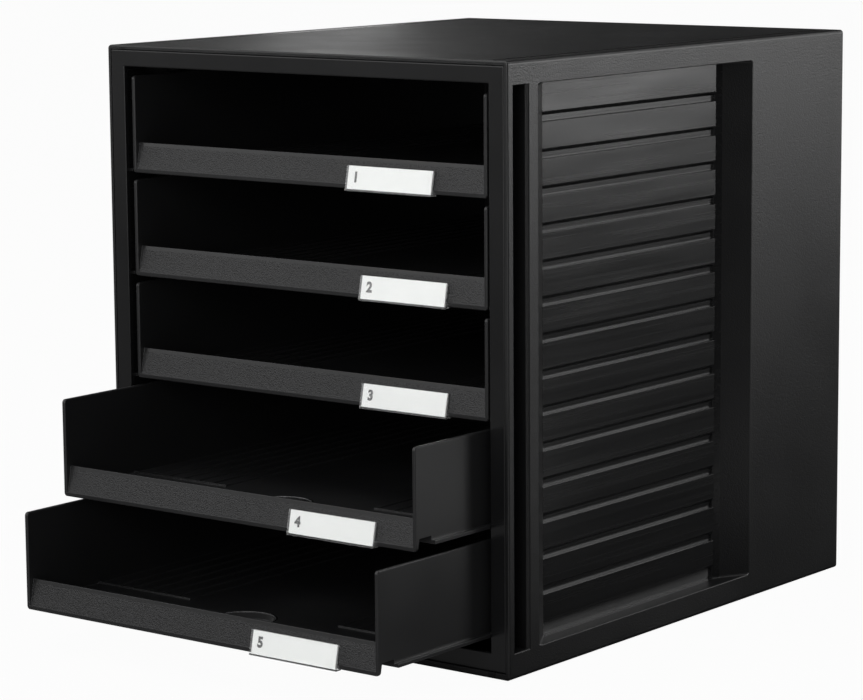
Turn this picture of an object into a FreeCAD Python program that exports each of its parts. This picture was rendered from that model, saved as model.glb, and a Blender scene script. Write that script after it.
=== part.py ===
import FreeCAD, Part
import os
import re

import Sketcher

# Desktop drawer organizer: a moulded housing with a front frame and five open fronted
# letter trays that slide on rails in its side walls. Millimetres, +Z up.
# The origin is the centre of the footprint, on the surface that the feet stand on.
# X runs across the front, Y runs from the front to the back.

doc = FreeCAD.newDocument("desktop_drawer_organizer")
sizes = doc.addObject("Spreadsheet::Sheet", "Sizes")

drawer_count = 5
slats_per_drawer = 3
ribs_per_side = 6

driving = [
    # housing
    ("width", 275.0),
    ("depth", 330.0),
    ("height", 320.0),
    ("wall", 2.2),
    ("floor_wall", 3.4),
    ("edge_radius", 2.1),
    ("rear_bevel", 1.2),
    ("front_edge_radius", 0.9),
    ("skin", 1.6),
    # front frame and the bulkhead it seats on
    ("frame_thickness", 3.0),
    ("frame_gap", 0.25),
    ("frame_edge", 0.7),
    ("frame_clearance", 0.4),
    ("bottom_border", 13.6),
    ("top_border", 11.6),
    ("bulkhead", 1.6),
    ("bulkhead_step", 0.5),
    # vertical slot and slatted window in each side
    ("slot_front", 4.6),
    ("slot_rear", 16.8),
    ("slot_recess", 9.9),
    ("bar_bevel", 1.4),
    ("window_front", 26.2),
    ("window_rear", 231.0),
    ("window_sill", 13.9),
    ("window_head", 12.5),
    ("window_corner", 1.4),
    ("opening_bevel", 0.35),
    ("slope_run", 22.0),
    ("slope_step", 1.3),
    ("groove_recess", 12.6),
    ("slat_step", 2.5),
    ("slat_rise", 1.8),
    ("slat_bevel", 0.35),
    ("groove_height", 4.8),
    ("web", 1.0),
    # drawers
    ("sill_gap", 5.6),
    ("head_gap", 5.2),
    ("drawer_gap", 4.0),
    ("side_gap", 0.8),
    ("drawer_wall", 2.2),
    ("front_inset", 2.4),
    ("rear_gap", 0.8),
    ("travel", 215.0),
    ("pull_four", 60.8),
    ("pull_five", 91.6),
    ("wall_bevel", 0.45),
    ("front_corner", 1.9),
    ("rear_corner", 4.0),
    # lip and the finger recess behind it
    ("lip_height", 16.5),
    ("lip_lean", 3.3),
    ("lip_thickness", 1.6),
    ("bead_height", 2.3),
    ("bead_step", 0.35),
    ("grip_depth", 12.8),
    ("grip_height", 6.5),
    # floor, runners, ribs and the thumb hole
    ("floor_lift", 2.4),
    ("floor_thickness", 2.2),
    ("runner_reach", 2.5),
    ("runner_height", 1.8),
    ("slide_gap", 0.2),
    ("rib_start", 54.0),
    ("rib_stop", 18.0),
    ("rib_inner", 52.0),
    ("rib_spacing", 11.0),
    ("rib_width", 1.4),
    ("rib_height", 0.8),
    ("thumb_radius", 17.0),
    ("thumb_place", 38.0),
    ("thumb_collar", 1.8),
    ("thumb_drop", 2.0),
    # extraction stop
    ("lug_length", 6.0),
    ("lug_height", 4.0),
    ("lug_reach", 2.2),
    ("tab_front", 10.0),
    ("tab_length", 4.0),
    ("tab_gap", 0.9),
    ("stop_gap", 0.3),
    # label holders and cards
    ("label_length", 57.6),
    ("label_top", 12.2),
    ("label_offset", 67.6),
    ("label_offset_top", 59.3),
    ("label_gap", 0.15),
    ("label_front", 0.7),
    ("label_web", 0.8),
    ("label_back_top", 5.6),
    ("card_thickness", 0.4),
    ("card_play", 0.1),
    ("card_margin", 1.0),
    # feet
    ("foot_height", 1.8),
    ("foot_socket", 0.8),
    ("foot_radius", 6.3),
    ("foot_play", 0.3),
    ("foot_chamfer", 0.5),
    ("foot_side", 14.0),
    ("foot_front", 20.0),
    ("foot_rear", 30.0),
]
for row, (alias, value) in enumerate(driving, start=1):
    sizes.set("A%d" % row, alias)
    sizes.set("B%d" % row, str(value))
    sizes.setAlias("B%d" % row, alias)
doc.recompute()


# Sizes that follow from the driving ones: the drawers fill the space inside the slatted
# walls, and the opening, less its gaps, is shared out among them.
following = {
    "window_bottom": "window_sill",
    "window_top": "height - window_head",
    "slat_recess": "groove_recess - slat_step",
    "slats_front": "window_front + slope_run * slat_recess / groove_recess",
    "slats_rear": "window_rear - slope_run",
    "opening_bottom": "bottom_border",
    "opening_top": "height - top_border",
    "drawer_width": "width - 2 * (groove_recess + skin + side_gap)",
    "opening_width": "drawer_width + 2 * (runner_reach + frame_clearance)",
    "lowest_drawer": "opening_bottom + sill_gap",
    "pitch": "(opening_top - head_gap - lowest_drawer + drawer_gap) / %d" % drawer_count,
    "drawer_height": "pitch - drawer_gap",
    "slat_pitch": "pitch / %d" % slats_per_drawer,
    "drawer_length": "depth - wall - rear_gap - front_inset",
    "floor_top": "floor_lift + floor_thickness",
    "shelf_top": "grip_height + floor_thickness",
    "rail_top": "lowest_drawer + floor_lift - slide_gap",
    "slat_bottom": "rail_top - web + slat_rise",
    "slat_back": "drawer_width / 2 + runner_reach + slide_gap",
    "rib_back": "width / 2 - groove_recess - skin",
}


def bound(text):
    """An expression of the sheet, from one written with the plain names above."""
    def named(word):
        name = word.group(0)
        if name in following:
            return "(" + bound(following[name]) + ")"
        return "Sizes." + name

    return re.sub(r"[a-z][a-z_]+", named, text)


def new_body(label, x="0", y="0", z="0"):
    """A body whose place in the organizer follows the sheet."""
    body = doc.addObject("PartDesign::Body", label)
    body.Label = label
    for axis, text in (("x", x), ("y", y), ("z", z)):
        body.setExpression("Placement.Base." + axis, bound(text))
    return body


def new_sketch(body, name, role, offset=None):
    """A sketch on one of the body's own origin planes, moved along its normal by offset."""
    plane = [item for item in body.Origin.OriginFeatures if item.Role == role][0]
    sketch = body.newObject("Sketcher::SketchObject", name)
    sketch.AttachmentSupport = (plane, [""])
    sketch.MapMode = "FlatFace"
    if offset:
        sketch.setExpression("AttachmentOffset.Base.z", bound(offset))
    return sketch


def set_point(sketch, line, end, x, y):
    """Ties one end of a line, or a circle's centre, to two expressions from the origin."""
    for kind, text in (("DistanceX", x), ("DistanceY", y)):
        index = sketch.addConstraint(Sketcher.Constraint(kind, -1, 1, line, end, 1.0))
        sketch.setExpression("Constraints[%d]" % index, bound(text))


def add_outline(sketch, corners):
    """A closed outline of straight lines through corners, each a pair of expressions."""
    first = sketch.GeometryCount
    count = len(corners)
    for step in range(count):
        start = FreeCAD.Vector(step + 1, (step * step) % 7, 0)
        end = FreeCAD.Vector(step + 2, (step + 3) % 5, 0)
        sketch.addGeometry(Part.LineSegment(start, end), False)
    for step in range(count):
        after = first + (step + 1) % count
        sketch.addConstraint(Sketcher.Constraint("Coincident", first + step, 2, after, 1))
    for step, (x, y) in enumerate(corners):
        set_point(sketch, first + step, 1, x, y)


def add_rectangle(sketch, left, bottom, right, top):
    add_outline(sketch, [(left, bottom), (right, bottom), (right, top), (left, top)])


def add_circle(sketch, x, y, radius):
    circle = sketch.addGeometry(Part.Circle(FreeCAD.Vector(1, 1, 0), FreeCAD.Vector(0, 0, 1), 3.0), False)
    set_point(sketch, circle, 3, x, y)
    index = sketch.addConstraint(Sketcher.Constraint("Radius", circle, 3.0))
    sketch.setExpression("Constraints[%d]" % index, bound(radius))


def pad(body, name, sketch, length, midplane=False, backwards=False):
    feature = body.newObject("PartDesign::Pad", name)
    feature.Profile = sketch
    feature.setExpression("Length", bound(length))
    feature.Midplane = midplane
    feature.Reversed = backwards
    doc.recompute()
    return feature


def pocket(body, name, sketch, length, midplane=False, backwards=False):
    """Cuts the sketch's outline, and stops if the cut took nothing away."""
    before = body.Shape.Volume
    feature = body.newObject("PartDesign::Pocket", name)
    feature.Profile = sketch
    feature.setExpression("Length", bound(length))
    feature.Midplane = midplane
    feature.Reversed = backwards
    doc.recompute()
    if feature.Shape.Volume >= before:
        raise RuntimeError(name + " cut nothing from " + body.Label)
    return feature


def repeat_upwards(body, name, feature, spacing, count):
    """Repeats a feature along +Z."""
    axis = [item for item in body.Origin.OriginFeatures if item.Role == "Z_Axis"][0]
    pattern = body.newObject("PartDesign::LinearPattern", name)
    pattern.Originals = [feature]
    pattern.Direction = (axis, [""])
    pattern.Occurrences = count
    pattern.setExpression("Length", bound("(%s) * %d" % (spacing, count - 1)))
    body.Tip = pattern
    doc.recompute()
    return pattern


def picked_edges(body, name, wanted):
    """The names of the edges of the body's present shape that wanted(edge) picks."""
    names = ["Edge%d" % (i + 1) for i, edge in enumerate(body.Tip.Shape.Edges) if wanted(edge)]
    if not names:
        raise RuntimeError(name + " found no edge on " + body.Label)
    return (body.Tip, names)


def fillet(body, name, radius, wanted):
    base = picked_edges(body, name, wanted)
    feature = body.newObject("PartDesign::Fillet", name)
    feature.Base = base
    feature.setExpression("Radius", bound(radius))
    doc.recompute()
    return feature


def chamfer(body, name, width, wanted):
    base = picked_edges(body, name, wanted)
    feature = body.newObject("PartDesign::Chamfer", name)
    feature.Base = base
    feature.setExpression("Size", bound(width))
    doc.recompute()
    return feature


def size(alias):
    return float(sizes.get(alias))


def near(first, second):
    return abs(first - second) < 0.01


def runs_along(edge, axis):
    """True for a straight edge parallel to the axis 0, 1 or 2 of its body."""
    box = edge.BoundBox
    lengths = (box.XLength, box.YLength, box.ZLength)
    return lengths[axis] > 0.01 and all(near(lengths[i], 0) for i in range(3) if i != axis)


def both_sides(shape):
    """An outline on the right side, and the same mirrored to the left."""
    mirrored = [("-(%s)" % x, y) for x, y in reversed(shape)]
    return [shape, mirrored]


cabinet = dict(y="-depth / 2", z="foot_height")


# Housing

beyond = "width / 2 + wall"
mid_wall = "width / 2 - wall / 2"


def window_skin(back):
    """The outline from above of the wall behind the window, whose inner face lies at back."""
    return [
        (mid_wall, "window_front - skin"),
        (mid_wall, "window_rear + skin"),
        (back, "slats_rear + skin"),
        (back, "slats_front"),
    ]


def groove_shape(bottom, top):
    """The outline from the front of a groove, whose upper face leans down and inwards."""
    return [
        ("width / 2 - groove_recess", bottom),
        ("width / 2 - slat_recess + web", bottom),
        ("width / 2 - slat_recess + web", top),
        ("width / 2 - slat_recess", top),
        ("width / 2 - groove_recess", top + " - slat_rise"),
    ]


def add_opening_edges(body):
    """Rounds the window's corners, then bevels its rim, the slot's rim and the slats."""
    half = size("width") / 2
    slat_face = half - size("groove_recess") + size("slat_step")
    sill, head = size("window_sill"), size("height") - size("window_head")
    slat_end = size("window_rear") - size("slope_run")

    def corner(edge):
        box = edge.BoundBox
        flat = near(box.ZMin, sill) and near(box.ZMax, sill) or near(box.ZMin, head) and near(box.ZMax, head)
        return flat and min(box.XLength, box.YLength) > 2 * size("bar_bevel")

    fillet(body, "WindowCorners", "window_corner", corner)

    def outer_edge(edge, place):
        points = [vertex.Point for vertex in edge.Vertexes]
        return all(near(abs(point.x), place) for point in points)

    def rim(edge):
        box = edge.BoundBox
        inside = box.ZMin > sill - 0.1 and box.ZMax < head + 0.1
        return outer_edge(edge, half) and inside and 0.1 < box.YMin and box.YMax < size("window_rear") + 0.1

    chamfer(body, "OpeningRims", "opening_bevel", rim)

    def slat_edge(edge):
        box = edge.BoundBox
        along = runs_along(edge, 1) and sill + 0.1 < box.ZMin < head - 0.1
        end = runs_along(edge, 2) and near(box.YMin, slat_end)
        return outer_edge(edge, slat_face) and (along or end)

    chamfer(body, "SlatEdges", "slat_bevel", slat_edge)


def make_housing():
    body = new_body("housing_shell", **cabinet)

    outside = new_sketch(body, "HousingOutside", "XZ_Plane")
    add_rectangle(outside, "-width / 2", "0", "width / 2", "height")
    pad(body, "HousingBlock", outside, "depth", backwards=True)

    depth = size("depth")

    def long_edge(edge):
        return runs_along(edge, 1)

    fillet(body, "LongEdges", "edge_radius", long_edge)

    def rear_edge(edge):
        return near(edge.BoundBox.YMin, depth)

    chamfer(body, "RearEdges", "rear_bevel", rear_edge)

    def front_edge(edge):
        return near(edge.BoundBox.YMax, 0)

    fillet(body, "FrontEdges", "front_edge_radius", front_edge)

    cavity = new_sketch(body, "Cavity", "XZ_Plane")
    add_rectangle(cavity, "-width / 2 + wall", "floor_wall", "width / 2 - wall", "height - wall")
    pocket(body, "CavityCut", cavity, "depth - wall")

    # A thin ring behind the front frame, which closes the gap round the opening.
    ring = new_sketch(body, "BulkheadRing", "XZ_Plane", "-frame_thickness")
    add_rectangle(ring, "-width / 2 + wall / 2", "floor_wall / 2", "width / 2 - wall / 2", "height - wall / 2")
    add_rectangle(
        ring,
        "-opening_width / 2 - bulkhead_step",
        "opening_bottom - bulkhead_step",
        "opening_width / 2 + bulkhead_step",
        "opening_top + bulkhead_step",
    )
    pad(body, "Bulkhead", ring, "bulkhead", backwards=True)

    # The inner skins of the slot and of the slatted window stand in the cavity, with a rib
    # behind each groove. The lowest rib and every third above it are rails.
    skins = new_sketch(body, "SideSkins", "XY_Plane", "window_bottom - skin")
    slot_skin = [
        (mid_wall, "frame_thickness"),
        (mid_wall, "slot_rear + skin"),
        ("width / 2 - slot_recess - skin", "slot_rear + skin"),
        ("width / 2 - slot_recess - skin", "frame_thickness"),
    ]
    for outline in both_sides(slot_skin) + both_sides(window_skin("slat_back")):
        add_outline(skins, outline)
    pad(body, "SideSkinWalls", skins, "window_top - window_bottom + 2 * skin")

    lowest_rib = new_sketch(body, "LowestRib", "XY_Plane", "window_bottom - skin")
    rib = new_sketch(body, "GrooveRib", "XY_Plane", "slat_bottom + slat_pitch - groove_height - web")
    for outline in both_sides(window_skin("rib_back")):
        add_outline(lowest_rib, outline)
        add_outline(rib, outline)
    pad(body, "LowestRibPad", lowest_rib, "rail_top - window_bottom + skin")
    rib_pad = pad(body, "GrooveRibPad", rib, "groove_height - slat_rise + 2 * web")
    groove_count = drawer_count * slats_per_drawer - 1
    repeat_upwards(body, "GrooveRibs", rib_pad, "slat_pitch", groove_count)

    # The rails carry on before and behind the slats, below each drawer's runner.
    for name, start, length in (
        ("FrontRail", "frame_thickness", "slats_front + skin - frame_thickness"),
        ("RearRail", "slats_rear - skin", "depth - wall / 2 - slats_rear + skin"),
    ):
        rail = new_sketch(body, name, "XZ_Plane", "-(%s)" % start)
        rail_shape = [
            ("rib_back", "rail_top - skin"),
            (mid_wall, "rail_top - skin"),
            (mid_wall, "rail_top"),
            ("rib_back", "rail_top"),
        ]
        for outline in both_sides(rail_shape):
            add_outline(rail, outline)
        rail_pad = pad(body, name + "Pad", rail, length, backwards=True)
        repeat_upwards(body, name + "s", rail_pad, "pitch", drawer_count)

    # The slot, the window and the grooves that part its slats are cut from outside. The
    # window's ends slope inwards, the rear one to a line deeper than the slats' faces.
    openings = new_sketch(body, "SideOpenings", "XY_Plane", "window_top")
    slot_cut = [
        (beyond, "slot_front"),
        (beyond, "slot_rear + bar_bevel"),
        ("width / 2", "slot_rear + bar_bevel"),
        ("width / 2 - bar_bevel", "slot_rear"),
        ("width / 2 - slot_recess", "slot_rear"),
        ("width / 2 - slot_recess", "slot_front"),
    ]
    window_cut = [
        (beyond, "window_front"),
        (beyond, "window_rear"),
        ("width / 2", "window_rear"),
        ("width / 2 - slat_recess - slope_step", "slats_rear"),
        ("width / 2 - slat_recess", "slats_rear"),
        ("width / 2 - slat_recess", "slats_front"),
        ("width / 2", "window_front"),
    ]
    for outline in both_sides(slot_cut) + both_sides(window_cut):
        add_outline(openings, outline)
    pocket(body, "SideOpeningCuts", openings, "window_top - window_bottom")

    lowest_groove = new_sketch(body, "LowestGroove", "XZ_Plane", "-(slats_front)")
    for outline in both_sides(groove_shape("window_bottom", "slat_bottom")):
        add_outline(lowest_groove, outline)
    pocket(body, "LowestGrooveCut", lowest_groove, "slats_rear - slats_front")
    groove = new_sketch(body, "Groove", "XZ_Plane", "-(slats_front)")
    groove_top = "slat_bottom + slat_pitch"
    for outline in both_sides(groove_shape(groove_top + " - groove_height", groove_top)):
        add_outline(groove, outline)
    groove_cut = pocket(body, "GrooveCut", groove, "slats_rear - slats_front")
    repeat_upwards(body, "Grooves", groove_cut, "slat_pitch", groove_count)
    add_opening_edges(body)

    # Tabs that catch the drawers' lugs when they are pulled right out.
    tab = new_sketch(body, "StopTab", "XZ_Plane", "-tab_front")
    tab_bottom = "rail_top + runner_height + 2 * slide_gap"
    tab_shape = [
        ("drawer_width / 2 + tab_gap", tab_bottom),
        ("width / 2 - slot_recess - skin / 2", tab_bottom),
        ("width / 2 - slot_recess - skin / 2", tab_bottom + " + lug_height"),
        ("drawer_width / 2 + tab_gap", tab_bottom + " + lug_height"),
    ]
    for outline in both_sides(tab_shape):
        add_outline(tab, outline)
    tab_pad = pad(body, "StopTabPad", tab, "tab_length", backwards=True)
    repeat_upwards(body, "StopTabs", tab_pad, "pitch", drawer_count)

    sockets = new_sketch(body, "FootSockets", "XY_Plane", "foot_socket")
    for side, rear in foot_places:
        add_circle(sockets, foot_x(side), foot_y(rear), "foot_radius + foot_play")
    pocket(body, "FootSocketCuts", sockets, "foot_socket")
    return body


# Feet, four alike

foot_places = [(-1, False), (1, False), (-1, True), (1, True)]


def foot_x(side):
    return "%d * (width / 2 - foot_side)" % side


def foot_y(rear):
    return "depth - foot_rear" if rear else "foot_front"


def make_foot(label, side, rear):
    body = new_body(label, foot_x(side), "-depth / 2 + " + foot_y(rear), "0")
    disc = new_sketch(body, label + "_disc", "XY_Plane")
    add_circle(disc, "0", "0", "foot_radius")
    pad(body, label + "_pad", disc, "foot_height + foot_socket")

    def lower_rim(edge):
        return near(edge.BoundBox.ZMax, 0)

    chamfer(body, label + "_edge", "foot_chamfer", lower_rim)
    return body


# Front frame

def make_frame():
    body = new_body("front_frame", **cabinet)
    plate = new_sketch(body, "FramePlate", "XZ_Plane")
    add_rectangle(
        plate,
        "-width / 2 + wall + frame_gap",
        "floor_wall + frame_gap",
        "width / 2 - wall - frame_gap",
        "height - wall - frame_gap",
    )
    add_rectangle(plate, "-opening_width / 2", "opening_bottom", "opening_width / 2", "opening_top")
    pad(body, "FramePad", plate, "frame_thickness", backwards=True)

    def face_edge(edge):
        return near(edge.BoundBox.YMax, 0)

    fillet(body, "FrameEdges", "frame_edge", face_edge)
    return body


# Drawers, five alike, each modelled from its own front face and lowest edge

def lip_line(height):
    """How far back the lip's front face lies at a height."""
    return "lip_lean * (%s) / lip_height" % height


def add_drawer_edges(body, label):
    """Rounds the corners and then the long edges of a drawer's walls."""
    corners = [vertex.Point for vertex in body.Tip.Shape.Vertexes]
    half = max(corner.x for corner in corners) - size("runner_reach")
    inner = half - size("drawer_wall")
    length = max(corner.y for corner in corners)
    top = max(corner.z for corner in corners)
    runner_top = size("floor_lift") + size("runner_height")

    def front_corner(edge):
        box = edge.BoundBox
        upper = runs_along(edge, 0) and near(box.YMin, 0) and near(box.ZMin, top)
        lower = runs_along(edge, 1) and near(box.ZMin, 0) and near(abs(box.XMin), half)
        return upper or lower

    fillet(body, label + "_front_corners", "front_corner", front_corner)

    def rear_corner(edge):
        box = edge.BoundBox
        return runs_along(edge, 2) and near(box.YMin, length) and near(abs(box.XMin), half)

    fillet(body, label + "_rear_corners", "rear_corner", rear_corner)

    def wall_edge(edge):
        box = edge.BoundBox
        across = near(abs(box.XMin), half) or near(abs(box.XMin), inner)
        along_top = runs_along(edge, 1) and near(box.ZMin, top) and across
        up_front = runs_along(edge, 2) and near(box.YMin, 0) and across and box.ZMax > runner_top
        return along_top or up_front

    chamfer(body, label + "_wall_edges", "wall_bevel", wall_edge)


def make_drawer(label, place):
    body = new_body(label, **place)

    block = new_sketch(body, label + "_side", "YZ_Plane")
    add_outline(block, [
        ("0", "0"),
        ("lip_thickness", "0"),
        (lip_line("grip_height") + " + lip_thickness", "grip_height"),
        ("grip_depth", "grip_height"),
        ("grip_depth", "floor_lift"),
        ("drawer_length", "floor_lift"),
        ("drawer_length", "drawer_height"),
        ("0", "drawer_height"),
    ])
    pad(body, label + "_block", block, "drawer_width", midplane=True)

    runner = new_sketch(body, label + "_runner", "YZ_Plane")
    runner_top = "floor_lift + runner_height"
    add_rectangle(runner, "grip_depth", "floor_lift", "drawer_length", runner_top)
    pad(body, label + "_runners", runner, "drawer_width + 2 * runner_reach", midplane=True)

    lug = new_sketch(body, label + "_lug", "YZ_Plane")
    lug_front = "travel + tab_front + tab_length + stop_gap - front_inset"
    lug_rear = lug_front + " + lug_length"
    add_rectangle(lug, lug_front, runner_top + " - skin", lug_rear, runner_top + " + lug_height")
    pad(body, label + "_lugs", lug, "drawer_width + 2 * lug_reach", midplane=True)

    # Everything above the floor goes, and all that lies in front of the leaning lip.
    inside = new_sketch(body, label + "_inside", "YZ_Plane")
    add_outline(inside, [
        ("-drawer_wall", "drawer_height + drawer_wall"),
        ("-drawer_wall", "bead_height"),
        (lip_line("bead_height") + " + bead_step", "bead_height"),
        (lip_line("lip_height") + " + bead_step", "lip_height"),
        (lip_line("lip_height") + " + lip_thickness", "lip_height"),
        (lip_line("shelf_top") + " + lip_thickness", "shelf_top"),
        ("grip_depth + floor_thickness", "shelf_top"),
        ("grip_depth + floor_thickness", "floor_top"),
        ("drawer_length - drawer_wall", "floor_top"),
        ("drawer_length - drawer_wall", "drawer_height + drawer_wall"),
    ])
    pocket(body, label + "_hollow", inside, "drawer_width - 2 * drawer_wall", midplane=True)

    # Low ribs along both sides of the floor, behind one rib across.
    ribs = new_sketch(body, label + "_rib_lines", "XY_Plane", "floor_top - rib_height")
    for step in range(ribs_per_side):
        inner = "rib_inner + rib_spacing * %d" % step
        outer = inner + " + rib_width"
        rib_shape = [
            (inner, "rib_start + rib_width / 2"),
            (outer, "rib_start + rib_width / 2"),
            (outer, "drawer_length - drawer_wall - rib_stop"),
            (inner, "drawer_length - drawer_wall - rib_stop"),
        ]
        for outline in both_sides(rib_shape):
            add_outline(ribs, outline)
    pad(body, label + "_ribs", ribs, "2 * rib_height")
    cross = new_sketch(body, label + "_cross_line", "XY_Plane", "floor_top - rib_height")
    cross_shape = [
        ("rib_inner", "rib_start"),
        ("drawer_width / 2 - drawer_wall / 2", "rib_start"),
        ("drawer_width / 2 - drawer_wall / 2", "rib_start + rib_width"),
        ("rib_inner", "rib_start + rib_width"),
    ]
    for outline in both_sides(cross_shape):
        add_outline(cross, outline)
    pad(body, label + "_cross_ribs", cross, "2 * rib_height")

    # A thumb hole with a collar below the floor, to push papers up from underneath.
    collar = new_sketch(body, label + "_collar", "XY_Plane", "floor_lift - thumb_drop")
    add_circle(collar, "0", "thumb_place", "thumb_radius + thumb_collar")
    pad(body, label + "_collar_pad", collar, "floor_thickness + thumb_drop")
    thumb = new_sketch(body, label + "_thumb", "XY_Plane", "floor_top")
    add_circle(thumb, "0", "thumb_place", "thumb_radius")
    pocket(body, label + "_thumb_hole", thumb, "floor_thickness + thumb_drop")

    add_drawer_edges(body, label)
    return body


# Label holders, clear clips that slide along the lips, each with a card

def card_line(height):
    """How far back the card's rear face lies at a height: it leans with the lip."""
    return "lip_lean * ((%s) - bead_height) / lip_height - label_gap" % height


def make_label_holder(label, place):
    body = new_body(label, **place)
    clip = new_sketch(body, label + "_clip", "YZ_Plane")
    card_front = " - card_thickness - card_play"
    front_face = card_front + " - label_front"
    floor_line = "-label_gap"
    low = "-label_gap - label_web"
    back = " + lip_thickness + label_gap"
    add_outline(clip, [
        (card_line(low) + front_face, low),
        (lip_line("0") + back + " + label_front", low),
        (lip_line("label_back_top") + back + " + label_front", "label_back_top"),
        (lip_line("label_back_top") + back, "label_back_top"),
        (lip_line("0") + back, floor_line),
        (card_line(floor_line) + card_front, floor_line),
        (card_line("label_top") + card_front, "label_top"),
        (card_line("label_top") + front_face, "label_top"),
    ])
    pad(body, label + "_pad", clip, "label_length", midplane=True)
    return body


def make_label_card(label, place):
    body = new_body(label, **place)
    card = new_sketch(body, label + "_outline", "YZ_Plane")
    bottom = "-label_gap + card_play"
    top = "label_top - card_play"
    add_outline(card, [
        (card_line(bottom) + " - card_thickness", bottom),
        (card_line(bottom), bottom),
        (card_line(top), top),
        (card_line(top) + " - card_thickness", top),
    ])
    pad(body, label + "_pad", card, "label_length - 2 * card_margin", midplane=True)
    return body


def drawer_place(number):
    """Where a drawer stands in the photographed pose. Number 1 is the topmost."""
    pull = {4: " - pull_four", 5: " - pull_five"}.get(number, "")
    return dict(
        x="0",
        y="-depth / 2 + front_inset" + pull,
        z="foot_height + lowest_drawer + pitch * %d" % (drawer_count - number),
    )


bodies = [make_housing(), make_frame()]
for number in range(1, drawer_count + 1):
    place = drawer_place(number)
    bodies.append(make_drawer("drawer_%d" % number, place))
    place["x"] = "label_offset_top" if number == 1 else "label_offset"
    bodies.append(make_label_holder("label_holder_%d" % number, place))
    bodies.append(make_label_card("label_card_%d" % number, place))
for side, rear in foot_places:
    end = "rear" if rear else "front"
    bodies.append(make_foot("foot_%s_%s" % (end, "right" if side > 0 else "left"), side, rear))

doc.recompute()
for item in doc.Objects:
    if "Invalid" in item.State or "Error" in item.State:
        raise RuntimeError(item.Label + " failed to build")
os.makedirs("parts", exist_ok=True)
for body in bodies:
    if body.Shape.isNull() or not body.Shape.isValid():
        raise RuntimeError(body.Label + " has no valid shape")
    body.Shape.exportStep("parts/%s.step" % body.Label)
    box = body.Shape.BoundBox
    print(
        body.Label, len(body.Shape.Solids), "solid", round(body.Shape.Volume),
        [round(v, 2) for v in (box.XMin, box.XMax, box.YMin, box.YMax, box.ZMin, box.ZMax)],
    )
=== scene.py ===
import math
from functools import reduce

import bmesh
import bpy
from mathutils import Matrix, Vector


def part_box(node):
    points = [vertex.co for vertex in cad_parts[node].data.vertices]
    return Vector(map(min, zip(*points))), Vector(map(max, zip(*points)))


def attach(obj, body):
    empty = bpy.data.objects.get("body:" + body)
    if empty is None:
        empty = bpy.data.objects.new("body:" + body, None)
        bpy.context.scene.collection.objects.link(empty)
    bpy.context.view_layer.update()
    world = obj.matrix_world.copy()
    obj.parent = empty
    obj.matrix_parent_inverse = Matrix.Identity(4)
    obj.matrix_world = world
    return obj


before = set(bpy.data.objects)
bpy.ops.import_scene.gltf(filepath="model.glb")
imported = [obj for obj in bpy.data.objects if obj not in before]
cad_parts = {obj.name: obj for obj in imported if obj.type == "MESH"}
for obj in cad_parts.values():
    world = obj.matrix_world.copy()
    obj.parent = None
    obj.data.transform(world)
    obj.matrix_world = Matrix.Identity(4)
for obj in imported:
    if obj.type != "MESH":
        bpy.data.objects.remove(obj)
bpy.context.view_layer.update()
scene = bpy.context.scene
drawerNumbers = range(1, 6)
forwardLimit = -0.5  # a face looks forward where its normal's Y is below this
print("stage: frame loaded,", len(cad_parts), "nodes")


def addObject(name, data):
    added = bpy.data.objects.new(name, data)
    scene.collection.objects.link(added)
    return added


def addNode(tree, kind, **settings):
    node = tree.nodes.new(kind)
    for name, value in settings.items():
        setattr(node, name, value)
    return node


def feed(tree, socket, value):  # a number or colour is set, an output is linked
    if isinstance(value, bpy.types.NodeSocket):
        tree.links.new(value, socket)
    else:
        socket.default_value = value


def feedAll(tree, node, values):  # by the names of the node's sockets
    for name, value in values.items():
        feed(tree, node.inputs[name], value)


def mathNode(tree, operation, *values):
    node = addNode(tree, "ShaderNodeMath", operation=operation)
    for socket, value in zip(node.inputs, values):
        feed(tree, socket, value)
    return node.outputs[0]


def allOf(tree, *masks):
    return reduce(lambda first, second: mathNode(tree, "MULTIPLY", first, second), masks)


def remap(tree, value, low, high, toLow=0.0, toHigh=1.0):
    node = addNode(tree, "ShaderNodeMapRange")
    for socket, number in zip(node.inputs, (value, low, high, toLow, toHigh)):
        feed(tree, socket, number)
    return node.outputs[0]


def noise(tree, vector, scale, detail, roughness):
    node = addNode(tree, "ShaderNodeTexNoise")
    feedAll(tree, node, {
        "Vector": vector, "Scale": scale, "Detail": detail, "Roughness": roughness,
    })
    return node.outputs["Fac"]


def stretched(tree, vector, scale):
    node = addNode(tree, "ShaderNodeMapping")
    feedAll(tree, node, {"Vector": vector, "Scale": scale})
    return node.outputs[0]


def axesOf(tree, vector):
    split = addNode(tree, "ShaderNodeSeparateXYZ")
    feed(tree, split.inputs[0], vector)
    return split.outputs


def mix(tree, kind, factor, first, second):
    node = addNode(tree, "ShaderNodeMix", data_type=kind)
    feedAll(tree, node, {"Factor": factor, "A": first, "B": second})
    return node.outputs["Result"]


def mixColors(tree, factor, first, second):
    return mix(tree, "RGBA", factor, first, second)


def mixNumbers(tree, factor, first, second):
    return mix(tree, "FLOAT", factor, first, second)


def blendShaders(tree, surface, factor, first, second):
    blend = addNode(tree, "ShaderNodeMixShader")
    for socket, value in zip(blend.inputs, (factor, first, second)):
        feed(tree, socket, value)
    feed(tree, surface, blend.outputs[0])


def addBump(tree, height, distance, strength=1.0, under=None):
    bump = addNode(tree, "ShaderNodeBump")
    feedAll(tree, bump, {"Height": height, "Distance": distance, "Strength": strength})
    if under is not None:
        feed(tree, bump.inputs["Normal"], under)
    return bump.outputs[0]


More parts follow.
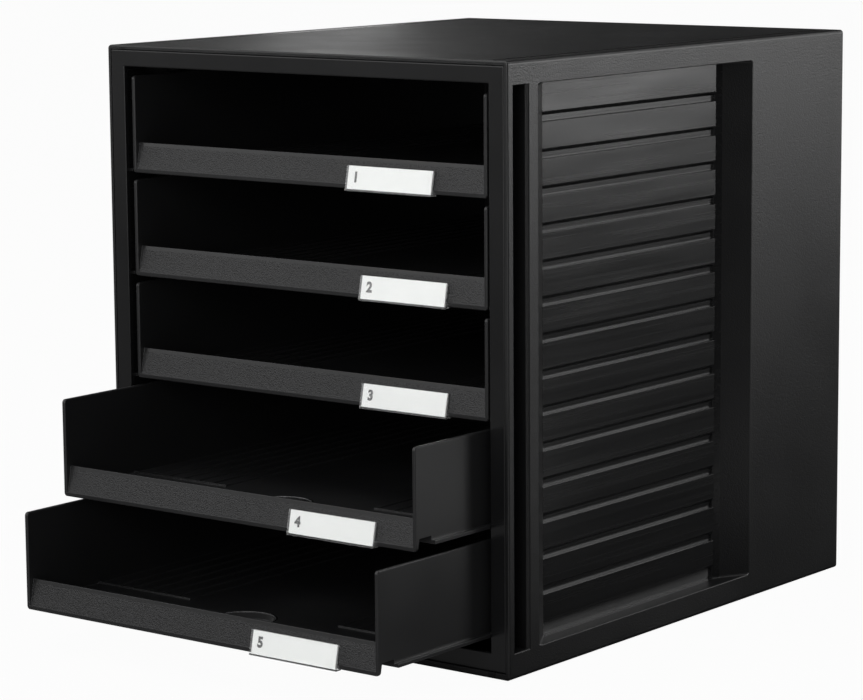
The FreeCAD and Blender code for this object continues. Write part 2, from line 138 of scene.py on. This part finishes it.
def newGroup(name, inputs, outputs):
    tree = bpy.data.node_groups.new(name, "ShaderNodeTree")
    for label, kind, value in inputs:
        socket = tree.interface.new_socket(name=label, in_out="INPUT", socket_type=kind)
        if value is not None:
            socket.default_value = value
    for label, kind in outputs:
        tree.interface.new_socket(name=label, in_out="OUTPUT", socket_type=kind)
    return tree, addNode(tree, "NodeGroupInput").outputs, addNode(tree, "NodeGroupOutput")


def useGroup(tree, group, **values):
    node = addNode(tree, "ShaderNodeGroup", node_tree=group)
    feedAll(tree, node, values)
    return node.outputs


# Surface effects that several materials share

pebbleShape = {
    "cellTop": 0.9,
    "dimpleScale": 2.3,  # dimples across a cell
    "dimpleHeight": 0.45,
    "valley": (0.35, 0.7),  # from a cell's middle, in cells
}


def pebbleGroup():  # moulded grain: rounded cells of uneven size, with fine dimples on top
    look = pebbleShape
    tree, into, out = newGroup(
        "pebbleGrain",
        [("Vector", "NodeSocketVector", None), ("Cells", "NodeSocketFloat", 800.0)],
        [("Height", "NodeSocketFloat"), ("Valley", "NodeSocketFloat")],
    )
    cells = addNode(tree, "ShaderNodeTexVoronoi", feature="F1")
    feedAll(tree, cells, {"Vector": into["Vector"], "Scale": into["Cells"]})
    fromMiddle = cells.outputs["Distance"]
    dimpleScale = mathNode(tree, "MULTIPLY", into["Cells"], look["dimpleScale"])
    dimples = noise(tree, into["Vector"], dimpleScale, detail=1.0, roughness=0.6)
    cellHeight = mathNode(tree, "SUBTRACT", look["cellTop"], fromMiddle)
    dimpleHeight = mathNode(tree, "MULTIPLY", dimples, look["dimpleHeight"])
    feedAll(tree, out, {
        "Height": mathNode(tree, "ADD", cellHeight, dimpleHeight),
        "Valley": remap(tree, fromMiddle, *look["valley"]),
    })
    return tree


mottleShape = {
    "cloud": (0.3, 0.7),
    "speckScale": 900.0,
    "speck": (0.68, 0.78),
}


def mottleGroup():  # slow changes of gloss over a moulded face, and a little settled dust
    look = mottleShape
    tree, into, out = newGroup(
        "mouldMottle",
        [("Vector", "NodeSocketVector", None), ("Patch", "NodeSocketFloat", 14.0)],
        [("Cloud", "NodeSocketFloat"), ("Speck", "NodeSocketFloat")],
    )
    cloud = noise(tree, into["Vector"], into["Patch"], detail=3.0, roughness=0.55)
    speck = noise(tree, into["Vector"], look["speckScale"], detail=1.0, roughness=0.5)
    feedAll(tree, out, {
        "Cloud": remap(tree, cloud, *look["cloud"]),
        "Speck": remap(tree, speck, *look["speck"]),
    })
    return tree


streakShape = {
    "lines": (1.0, 0.009, 1.0),  # drawn out along Y
    "waves": (1.0, 0.45, 1.6),
    "streakScale": 420.0,
    "streak": (0.32, 0.68),
    "brushScale": 1500.0,
    "waveScale": 24.0,
}


def streakGroup():  # flow lines along Y and slow waves, as in a long moulded slat
    look = streakShape
    tree, into, out = newGroup(
        "flowStreaks",
        [("Vector", "NodeSocketVector", None)],
        [("Streak", "NodeSocketFloat"), ("Brush", "NodeSocketFloat"), ("Wave", "NodeSocketFloat")],
    )
    lines = stretched(tree, into["Vector"], look["lines"])
    waves = stretched(tree, into["Vector"], look["waves"])
    streak = noise(tree, lines, look["streakScale"], detail=3.0, roughness=0.65)
    feedAll(tree, out, {
        "Streak": remap(tree, streak, *look["streak"]),
        "Brush": noise(tree, lines, look["brushScale"], detail=1.0, roughness=0.5),
        "Wave": noise(tree, waves, look["waveScale"], detail=1.0, roughness=0.4),
    })
    return tree


edgeShape = {
    "samples": 4,
    "turned": (0.98, 0.8),  # cosine between the flat and the rounded normal, face to edge
}


def edgeGroup():  # moulded edges are a little round; the Edge mask marks them for a painted highlight
    tree, into, out = newGroup(
        "roundEdges",
        [("Radius", "NodeSocketFloat", 0.0005)],
        [("Normal", "NodeSocketVector"), ("Edge", "NodeSocketFloat")],
    )
    rounded = addNode(tree, "ShaderNodeBevel", samples=edgeShape["samples"])
    feed(tree, rounded.inputs["Radius"], into["Radius"])
    turned = addNode(tree, "ShaderNodeVectorMath", operation="DOT_PRODUCT")
    feed(tree, turned.inputs[0], rounded.outputs[0])
    feed(tree, turned.inputs[1], addNode(tree, "ShaderNodeNewGeometry").outputs["True Normal"])
    feedAll(tree, out, {
        "Normal": rounded.outputs[0],
        "Edge": remap(tree, turned.outputs["Value"], *edgeShape["turned"]),
    })
    return tree


pebble = pebbleGroup()
mottle = mottleGroup()
streaks = streakGroup()
edges = edgeGroup()


# Materials

def emptyTree(owner, outputKind):
    owner.use_nodes = True
    tree = owner.node_tree
    tree.nodes.clear()
    return tree, addNode(tree, outputKind).inputs["Surface"]


def newMaterial(name):
    material = bpy.data.materials.new(name)
    tree, surface = emptyTree(material, "ShaderNodeOutputMaterial")
    shader = addNode(tree, "ShaderNodeBsdfPrincipled")
    feed(tree, surface, shader.outputs[0])
    place = addNode(tree, "ShaderNodeTexCoord").outputs["Object"]
    return material, tree, shader, place


housingFinish = {
    "black": (0.0075, 0.0076, 0.0080, 1.0),
    "dust": (0.012, 0.012, 0.0125, 1.0),
    "edgeHighlight": (0.05, 0.05, 0.052, 1.0),  # painted highlight along the edges
    "gloss": (0.31, 0.40),  # roughness between these
    "slatGloss": (0.22, 0.29),
    "ior": 1.5,
    "patch": 11.0,
    "edgeRadius": 0.0002,
    "grainCells": 1200.0,
    "grainDepth": 0.00007,
    "brushDepth": 0.0000068,
    "waveDepth": 0.0003,
    "slatDepths": (0.1238, 0.1285),  # how far out the slats and grooves lie
}


def housingPlastic():
    look = housingFinish
    material, tree, shader, place = newMaterial("housingPlastic")
    across = mathNode(tree, "ABSOLUTE", axesOf(tree, place)["X"])
    inner, outer = look["slatDepths"]
    onSlats = allOf(
        tree,
        mathNode(tree, "GREATER_THAN", across, inner),
        mathNode(tree, "LESS_THAN", across, outer),
    )
    cloud = useGroup(tree, mottle, Vector=place, Patch=look["patch"])
    streak = useGroup(tree, streaks, Vector=place)
    edge = useGroup(tree, edges, Radius=look["edgeRadius"])
    grain = useGroup(tree, pebble, Vector=place, Cells=look["grainCells"])
    plain = mixColors(tree, cloud["Speck"], look["black"], look["dust"])
    flatRough = remap(tree, cloud["Cloud"], 0.0, 1.0, *look["gloss"])
    slatRough = remap(tree, streak["Streak"], 0.0, 1.0, *look["slatGloss"])
    offSlats = mathNode(tree, "SUBTRACT", 1.0, onSlats)
    grained = addBump(tree, grain["Height"], look["grainDepth"], offSlats, edge["Normal"])
    waved = addBump(tree, streak["Wave"], look["waveDepth"], onSlats, grained)
    feedAll(tree, shader, {
        # the edges get a lighter colour, a painted highlight
        "Base Color": mixColors(tree, edge["Edge"], plain, look["edgeHighlight"]),
        "Roughness": mixNumbers(tree, onSlats, flatRough, slatRough),
        "IOR": look["ior"],
        "Normal": addBump(tree, streak["Brush"], look["brushDepth"], onSlats, waved),
    })
    return material


frameFinish = {
    "black": (0.0075, 0.0076, 0.0080, 1.0),
    "haze": (0.010, 0.010, 0.0106, 1.0),
    # painted highlight along the edges
    "edgeHighlight": (0.05, 0.05, 0.052, 1.0),
    "gloss": (0.16, 0.24),
    "ior": 1.5,
    "patch": 18.0,
    "edgeRadius": 0.0004,
    "waveScale": 30.0,
    "waveDepth": 0.00006,
}


def framePlastic():
    look = frameFinish
    material, tree, shader, place = newMaterial("framePlastic")
    cloud = useGroup(tree, mottle, Vector=place, Patch=look["patch"])
    edge = useGroup(tree, edges, Radius=look["edgeRadius"])
    wave = noise(tree, place, look["waveScale"], detail=1.0, roughness=0.4)
    plain = mixColors(tree, cloud["Cloud"], look["black"], look["haze"])
    feedAll(tree, shader, {
        # the edges get a lighter colour, a painted highlight
        "Base Color": mixColors(tree, edge["Edge"], plain, look["edgeHighlight"]),
        "Roughness": remap(tree, cloud["Cloud"], 0.0, 1.0, *look["gloss"]),
        "IOR": look["ior"],
        "Normal": addBump(tree, wave, look["waveDepth"], 1.0, edge["Normal"]),
    })
    return material


drawerFinish = {
    "black": (0.0160, 0.0161, 0.0168, 1.0),
    # painted highlight along the edges
    "edgeHighlight": (0.075, 0.075, 0.078, 1.0),
    "gloss": (0.28, 0.38),
    "ior": 1.5,
    "patch": 16.0,
    "edgeRadius": 0.00035,
    "lip": (0.034, 0.034, 0.0354, 1.0),
    "lipValley": (0.006, 0.006, 0.0063, 1.0),
    "lipGloss": 0.42,
    "lipBack": 0.0056,  # how far back the lip's face can lie
    "lipEnds": 0.0047,  # bare at each end of the lip
    "grainBand": (0.0026, 0.0146),  # height above the drawer's lowest edge
    "bandFade": 0.0003,
    "grainCells": 1500.0,
    "grainDepth": 0.00014,
    "holeRimHighlight": (0.34, 0.34, 0.35, 1.0),  # painted highlight on the rim of the thumb hole
    "holeRimGloss": 0.13,
    "holeRimRadius": 0.0011,
    "holePlace": 0.038,  # behind the drawer's front
    "holeReach": 0.0185,
}


def lipMask(tree, place, low, high):  # 1 on the grained band of the lip's face
    look = drawerFinish
    x, y, z = axesOf(tree, place)
    start, stop = (low.z + height for height in look["grainBand"])
    fade = look["bandFade"]
    normal = addNode(tree, "ShaderNodeNewGeometry").outputs["Normal"]
    return allOf(
        tree,
        remap(tree, z, start - fade, start + fade),
        remap(tree, z, stop - fade, stop + fade, 1.0, 0.0),
        mathNode(tree, "LESS_THAN", y, low.y + look["lipBack"]),
        mathNode(tree, "LESS_THAN", axesOf(tree, normal)["Y"], forwardLimit),
        mathNode(tree, "LESS_THAN", mathNode(tree, "ABSOLUTE", x), high.x - look["lipEnds"]),
    )


def holeMask(tree, place, low):  # 1 round the thumb hole, for its painted rim highlight, rounder edges and gloss
    look = drawerFinish
    x, y, z = axesOf(tree, place)
    behind = mathNode(tree, "SUBTRACT", y, low.y + look["holePlace"])
    squares = [mathNode(tree, "POWER", side, 2.0) for side in (x, behind)]
    fromHole = mathNode(tree, "SQRT", mathNode(tree, "ADD", *squares))
    return mathNode(tree, "LESS_THAN", fromHole, look["holeReach"])


def drawerPlastic(number):
    look = drawerFinish
    low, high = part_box("drawer_%d" % number)
    material, tree, shader, place = newMaterial("drawerPlastic%d" % number)
    onLip = lipMask(tree, place, low, high)
    byHole = holeMask(tree, place, low)
    cloud = useGroup(tree, mottle, Vector=place, Patch=look["patch"])
    grain = useGroup(tree, pebble, Vector=place, Cells=look["grainCells"])
    radius = mixNumbers(tree, byHole, look["edgeRadius"], look["holeRimRadius"])
    edge = useGroup(tree, edges, Radius=radius)
    grained = mixColors(tree, grain["Valley"], look["lip"], look["lipValley"])
    plain = mixColors(tree, onLip, look["black"], grained)
    # painted highlights: lighter along the edges, and much brighter on the thumb hole's rim
    paintedHighlight = mixColors(tree, byHole, look["edgeHighlight"], look["holeRimHighlight"])
    cloudRough = remap(tree, cloud["Cloud"], 0.0, 1.0, *look["gloss"])
    flatRough = mixNumbers(tree, byHole, cloudRough, look["holeRimGloss"])
    feedAll(tree, shader, {
        "Base Color": mixColors(tree, edge["Edge"], plain, paintedHighlight),
        "Roughness": mixNumbers(tree, onLip, flatRough, look["lipGloss"]),
        "IOR": look["ior"],
        "Normal": addBump(tree, grain["Height"], look["grainDepth"], onLip, edge["Normal"]),
    })
    return material


holderFinish = {
    "clear": (0.97, 0.98, 0.98, 1.0),
    "transmission": 0.94,
    "ior": 1.47,
    "gloss": (0.04, 0.09),
    "scratchScale": 120.0,
    "scratchDepth": 0.00001,
    "scratchStrength": 0.4,
}


def clearPlastic():
    look = holderFinish
    material, tree, shader, place = newMaterial("clearPlastic")
    scratch = noise(tree, place, look["scratchScale"], detail=3.0, roughness=0.6)
    feedAll(tree, shader, {
        "Base Color": look["clear"],
        "Roughness": remap(tree, scratch, 0.3, 0.7, *look["gloss"]),
        "IOR": look["ior"],
        "Transmission Weight": look["transmission"],
        "Normal": addBump(tree, scratch, look["scratchDepth"], look["scratchStrength"]),
    })
    surface = shader.outputs[0].links[0].to_socket
    shadowRay = addNode(tree, "ShaderNodeLightPath").outputs["Is Shadow Ray"]
    through = addNode(tree, "ShaderNodeBsdfTransparent").outputs[0]
    blendShaders(tree, surface, shadowRay, shader.outputs[0], through)
    return material


cardFinish = {
    "white": (0.86, 0.86, 0.85, 1.0),
    "fibre": (0.80, 0.80, 0.78, 1.0),
    "roughness": 0.75,
    "fibreScale": 2200.0,
    "fibreDepth": 0.00001,
    "fibreStrength": 0.3,
}


def cardPaper():
    look = cardFinish
    material, tree, shader, place = newMaterial("cardPaper")
    fibre = noise(tree, place, look["fibreScale"], detail=3.0, roughness=0.7)
    feedAll(tree, shader, {
        "Base Color": mixColors(tree, fibre, look["white"], look["fibre"]),
        "Roughness": look["roughness"],
        "Normal": addBump(tree, fibre, look["fibreDepth"], look["fibreStrength"]),
    })
    return material


inkFinish = {
    "black": (0.012, 0.012, 0.012, 1.0),
    "thin": (0.03, 0.03, 0.03, 1.0),
    "roughness": 0.6,
    "spreadScale": 1800.0,
}


def inkBlack():
    look = inkFinish
    material, tree, shader, place = newMaterial("inkBlack")
    spread = noise(tree, place, look["spreadScale"], detail=2.0, roughness=0.6)
    feedAll(tree, shader, {
        "Base Color": mixColors(tree, spread, look["black"], look["thin"]),
        "Roughness": look["roughness"],
    })
    return material


footFinish = {
    "black": (0.016, 0.016, 0.016, 1.0),
    "valley": (0.010, 0.010, 0.010, 1.0),
    "roughness": 0.7,
    "grainCells": 2400.0,
    "grainDepth": 0.00004,
}


def footRubber():
    look = footFinish
    material, tree, shader, place = newMaterial("footRubber")
    grain = useGroup(tree, pebble, Vector=place, Cells=look["grainCells"])
    feedAll(tree, shader, {
        "Base Color": mixColors(tree, grain["Valley"], look["black"], look["valley"]),
        "Roughness": look["roughness"],
        "Normal": addBump(tree, grain["Height"], look["grainDepth"]),
    })
    return material


def paint(node, material):
    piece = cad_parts[node]
    if not piece.material_slots:
        piece.data.materials.append(material)
    for place in piece.material_slots:
        place.material = material


paint("housing_shell", housingPlastic())
paint("front_frame", framePlastic())
clear, paper, rubber = clearPlastic(), cardPaper(), footRubber()
for number in drawerNumbers:
    paint("drawer_%d" % number, drawerPlastic(number))
    paint("label_holder_%d" % number, clear)
    paint("label_card_%d" % number, paper)
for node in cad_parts:
    if node.startswith("foot_"):
        paint(node, rubber)
print("stage: materials set")


# Plain numbers on the cards, which ride with their holders

cardNumbers = {
    "size": 0.0074,
    "bold": 0.00038,
    "fromMiddle": -0.0225,
    "lift": 0.00003,  # in front of the card's face
}


def cardFace(node):  # middle and direction of the face that looks forward
    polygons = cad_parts[node].data.polygons
    faces = [face for face in polygons if face.normal.y < forwardLimit]
    whole = sum(face.area for face in faces)
    middle = sum((face.center * face.area for face in faces), Vector()) / whole
    return middle, faces[0].normal.normalized()


def numberMesh(number):
    look = cardNumbers
    curve = bpy.data.curves.new("cardNumberText%d" % number, "FONT")
    curve.body = str(number)
    curve.size = look["size"]
    curve.offset = look["bold"]
    curve.align_x, curve.align_y = "CENTER", "CENTER"
    written = addObject("cardNumberText%d" % number, curve)
    bpy.context.view_layer.update()
    shaped = written.evaluated_get(bpy.context.evaluated_depsgraph_get())
    mesh = bpy.data.meshes.new_from_object(shaped)
    bpy.data.objects.remove(written)
    return mesh


def addNumber(number, ink):
    look = cardNumbers
    middle, outward = cardFace("label_card_%d" % number)
    across = Vector((1.0, 0.0, 0.0))
    upward = outward.cross(across)
    turn = Matrix((across, upward, outward)).transposed().to_4x4()
    place = middle + across * look["fromMiddle"] + outward * look["lift"]
    mesh = numberMesh(number)
    mesh.transform(Matrix.Translation(place) @ turn)
    mesh.materials.clear()
    mesh.materials.append(ink)
    piece = addObject("card_number_%d" % number, mesh)
    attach(piece, "label_%d_body" % number)


ink = inkBlack()
for number in drawerNumbers:
    addNumber(number, ink)
print("stage: card numbers added")


# The camera, at the photograph's viewing angle

cameraSetup = {
    "lens": 132.35,
    "sensorWidth": 36.0,
    "farthest": 50.0,
    "place": (1.084, -1.4467, 0.4249),
    "yaw": 37.851,
    "pitch": 8.893,
    "roll": -0.437,
}


def addCamera():
    look = cameraSetup
    data = bpy.data.cameras.new("photoCamera")
    data.sensor_width = look["sensorWidth"]
    data.lens = look["lens"]
    data.clip_end = look["farthest"]
    camera = addObject("photoCamera", data)
    turn = (
        Matrix.Rotation(math.radians(look["yaw"]), 4, "Z")
        @ Matrix.Rotation(math.radians(90.0 - look["pitch"]), 4, "X")
        @ Matrix.Rotation(math.radians(look["roll"]), 4, "Z")
    )
    camera.matrix_world = Matrix.Translation(look["place"]) @ turn
    scene.camera = camera


addCamera()


# The studio: a pale floor, soft lamps, and grey cards that only reflections see

studio = {
    "floorSize": 24.0,
    "floorShade": (0.82, 0.82, 0.82, 1.0),
    "floorWhite": 0.965,  # share of plain white that the camera sees in the floor
    "skyShade": (1.0, 1.0, 1.0, 1.0),
    "fill": 0.18,  # the sky's strength as a light
    "lamps": [
        # name, place, aimed at, width, height, watts
        ("lampTop", (-0.2, -0.6, 1.9), (0.0, -0.1, 0.2), 1.6, 1.2, 5.5),
        ("lampLeftFront", (-1.5, -2.1, 1.0), (0.0, -0.15, 0.2), 1.6, 1.0, 2.8),
        ("lampRightRear", (1.50, 1.40, 0.55), (0.1, 0.0, 0.3), 0.8, 0.8, 9.6),
        ("lampFront", (0.7, -1.9, 0.75), (0.0, -0.15, 0.15), 0.9, 0.9, 8.5),
    ],
    "cards": [
        # name, place, aimed at, width, height, shade, turn
        ("cardFloor", (1.5, 1.5, 0.0004), (1.5, 1.5, 1.0), 5.0, 5.0, 0.02),
        ("cardFloorLeft", (-1.75, -2.53, 0.0006), (-1.75, -2.53, 1.0), 4.5, 4.7, 0.18),
        ("cardRearRight", (-0.9, 2.9, 2.3), (0.0, 0.0, 2.0), 2.6, 5.4, 0.015),
        ("cardRearLeft", (-2.6, 1.7, 1.3), (0.0, 0.0, 1.0), 1.6, 3.4, 0.08),
        ("cardLeft", (-1.9, -2.4, 0.20), (0.0, 0.0, 0.2), 4.0, 0.6, 0.33),
        ("cardRight", (2.2, 0.3, 1.3), (0.0, 0.0, 1.0), 5.0, 3.4, 0.015),
        ("cardFloorSide", (0.545, 0.27, 0.0006), (0.545, 0.27, 1.0), 0.5, 0.13, 1.0, -52.8),
    ],
}


def seenRays(tree):  # 1 for what the camera, a mirror or glass sees
    path = addNode(tree, "ShaderNodeLightPath").outputs
    first = mathNode(tree, "MAXIMUM", path["Is Camera Ray"], path["Is Glossy Ray"])
    return mathNode(tree, "MAXIMUM", first, path["Is Transmission Ray"])


def aimed(place, target):
    way = Vector(target) - Vector(place)
    return Matrix.Translation(place) @ way.to_track_quat("-Z", "Y").to_matrix().to_4x4()


def flatMesh(name, width, height, place=Matrix(), turn=0.0):
    mesh = bpy.data.meshes.new(name)
    shape = bmesh.new()
    bmesh.ops.create_grid(shape, x_segments=1, y_segments=1, size=0.5)
    bmesh.ops.scale(shape, vec=(width, height, 1.0), verts=shape.verts)
    aside = Matrix.Rotation(math.radians(turn), 3, "Z")
    bmesh.ops.rotate(shape, matrix=aside, verts=shape.verts)
    bmesh.ops.transform(shape, matrix=place, verts=shape.verts)
    shape.to_mesh(mesh)
    shape.free()
    return mesh


def addFloor():
    mesh = flatMesh("floor", studio["floorSize"], studio["floorSize"])
    floor = addObject("floor", mesh)
    material = bpy.data.materials.new("floorPale")
    tree, surface = emptyTree(material, "ShaderNodeOutputMaterial")
    pale = addNode(tree, "ShaderNodeBsdfDiffuse")
    feed(tree, pale.inputs["Color"], studio["floorShade"])
    white = addNode(tree, "ShaderNodeEmission")
    share = mathNode(tree, "MULTIPLY", seenRays(tree), studio["floorWhite"])
    blendShaders(tree, surface, share, pale.outputs[0], white.outputs[0])
    mesh.materials.append(material)


def addWorld():
    world = bpy.data.worlds.new("studioWorld")
    tree, surface = emptyTree(world, "ShaderNodeOutputWorld")
    background = addNode(tree, "ShaderNodeBackground")
    feedAll(tree, background, {
        "Color": studio["skyShade"],
        "Strength": mixNumbers(tree, seenRays(tree), studio["fill"], 1.0),
    })
    feed(tree, surface, background.outputs[0])
    scene.world = world


def addLamp(name, place, target, width, height, watts):
    data = bpy.data.lights.new(name, "AREA")
    data.shape = "RECTANGLE"
    data.size, data.size_y = width, height
    data.energy = watts
    lamp = addObject(name, data)
    lamp.matrix_world = aimed(place, target)
    lamp.visible_camera = False


def addCard(name, place, target, width, height, shade, turn=0.0):
    mesh = flatMesh(name, width, height, aimed(place, target), turn)
    card = addObject(name, mesh)
    material = bpy.data.materials.new(name)
    tree, surface = emptyTree(material, "ShaderNodeOutputMaterial")
    glow = addNode(tree, "ShaderNodeEmission")
    feed(tree, glow.inputs["Color"], (shade, shade, shade, 1.0))
    feed(tree, surface, glow.outputs[0])
    mesh.materials.append(material)
    card.visible_camera = card.visible_diffuse = card.visible_shadow = False
    card.visible_transmission = False


addFloor()
addWorld()
for lamp in studio["lamps"]:
    addLamp(*lamp)
for card in studio["cards"]:
    addCard(*card)
scene.view_settings.view_transform = "Standard"
print("stage: studio set")
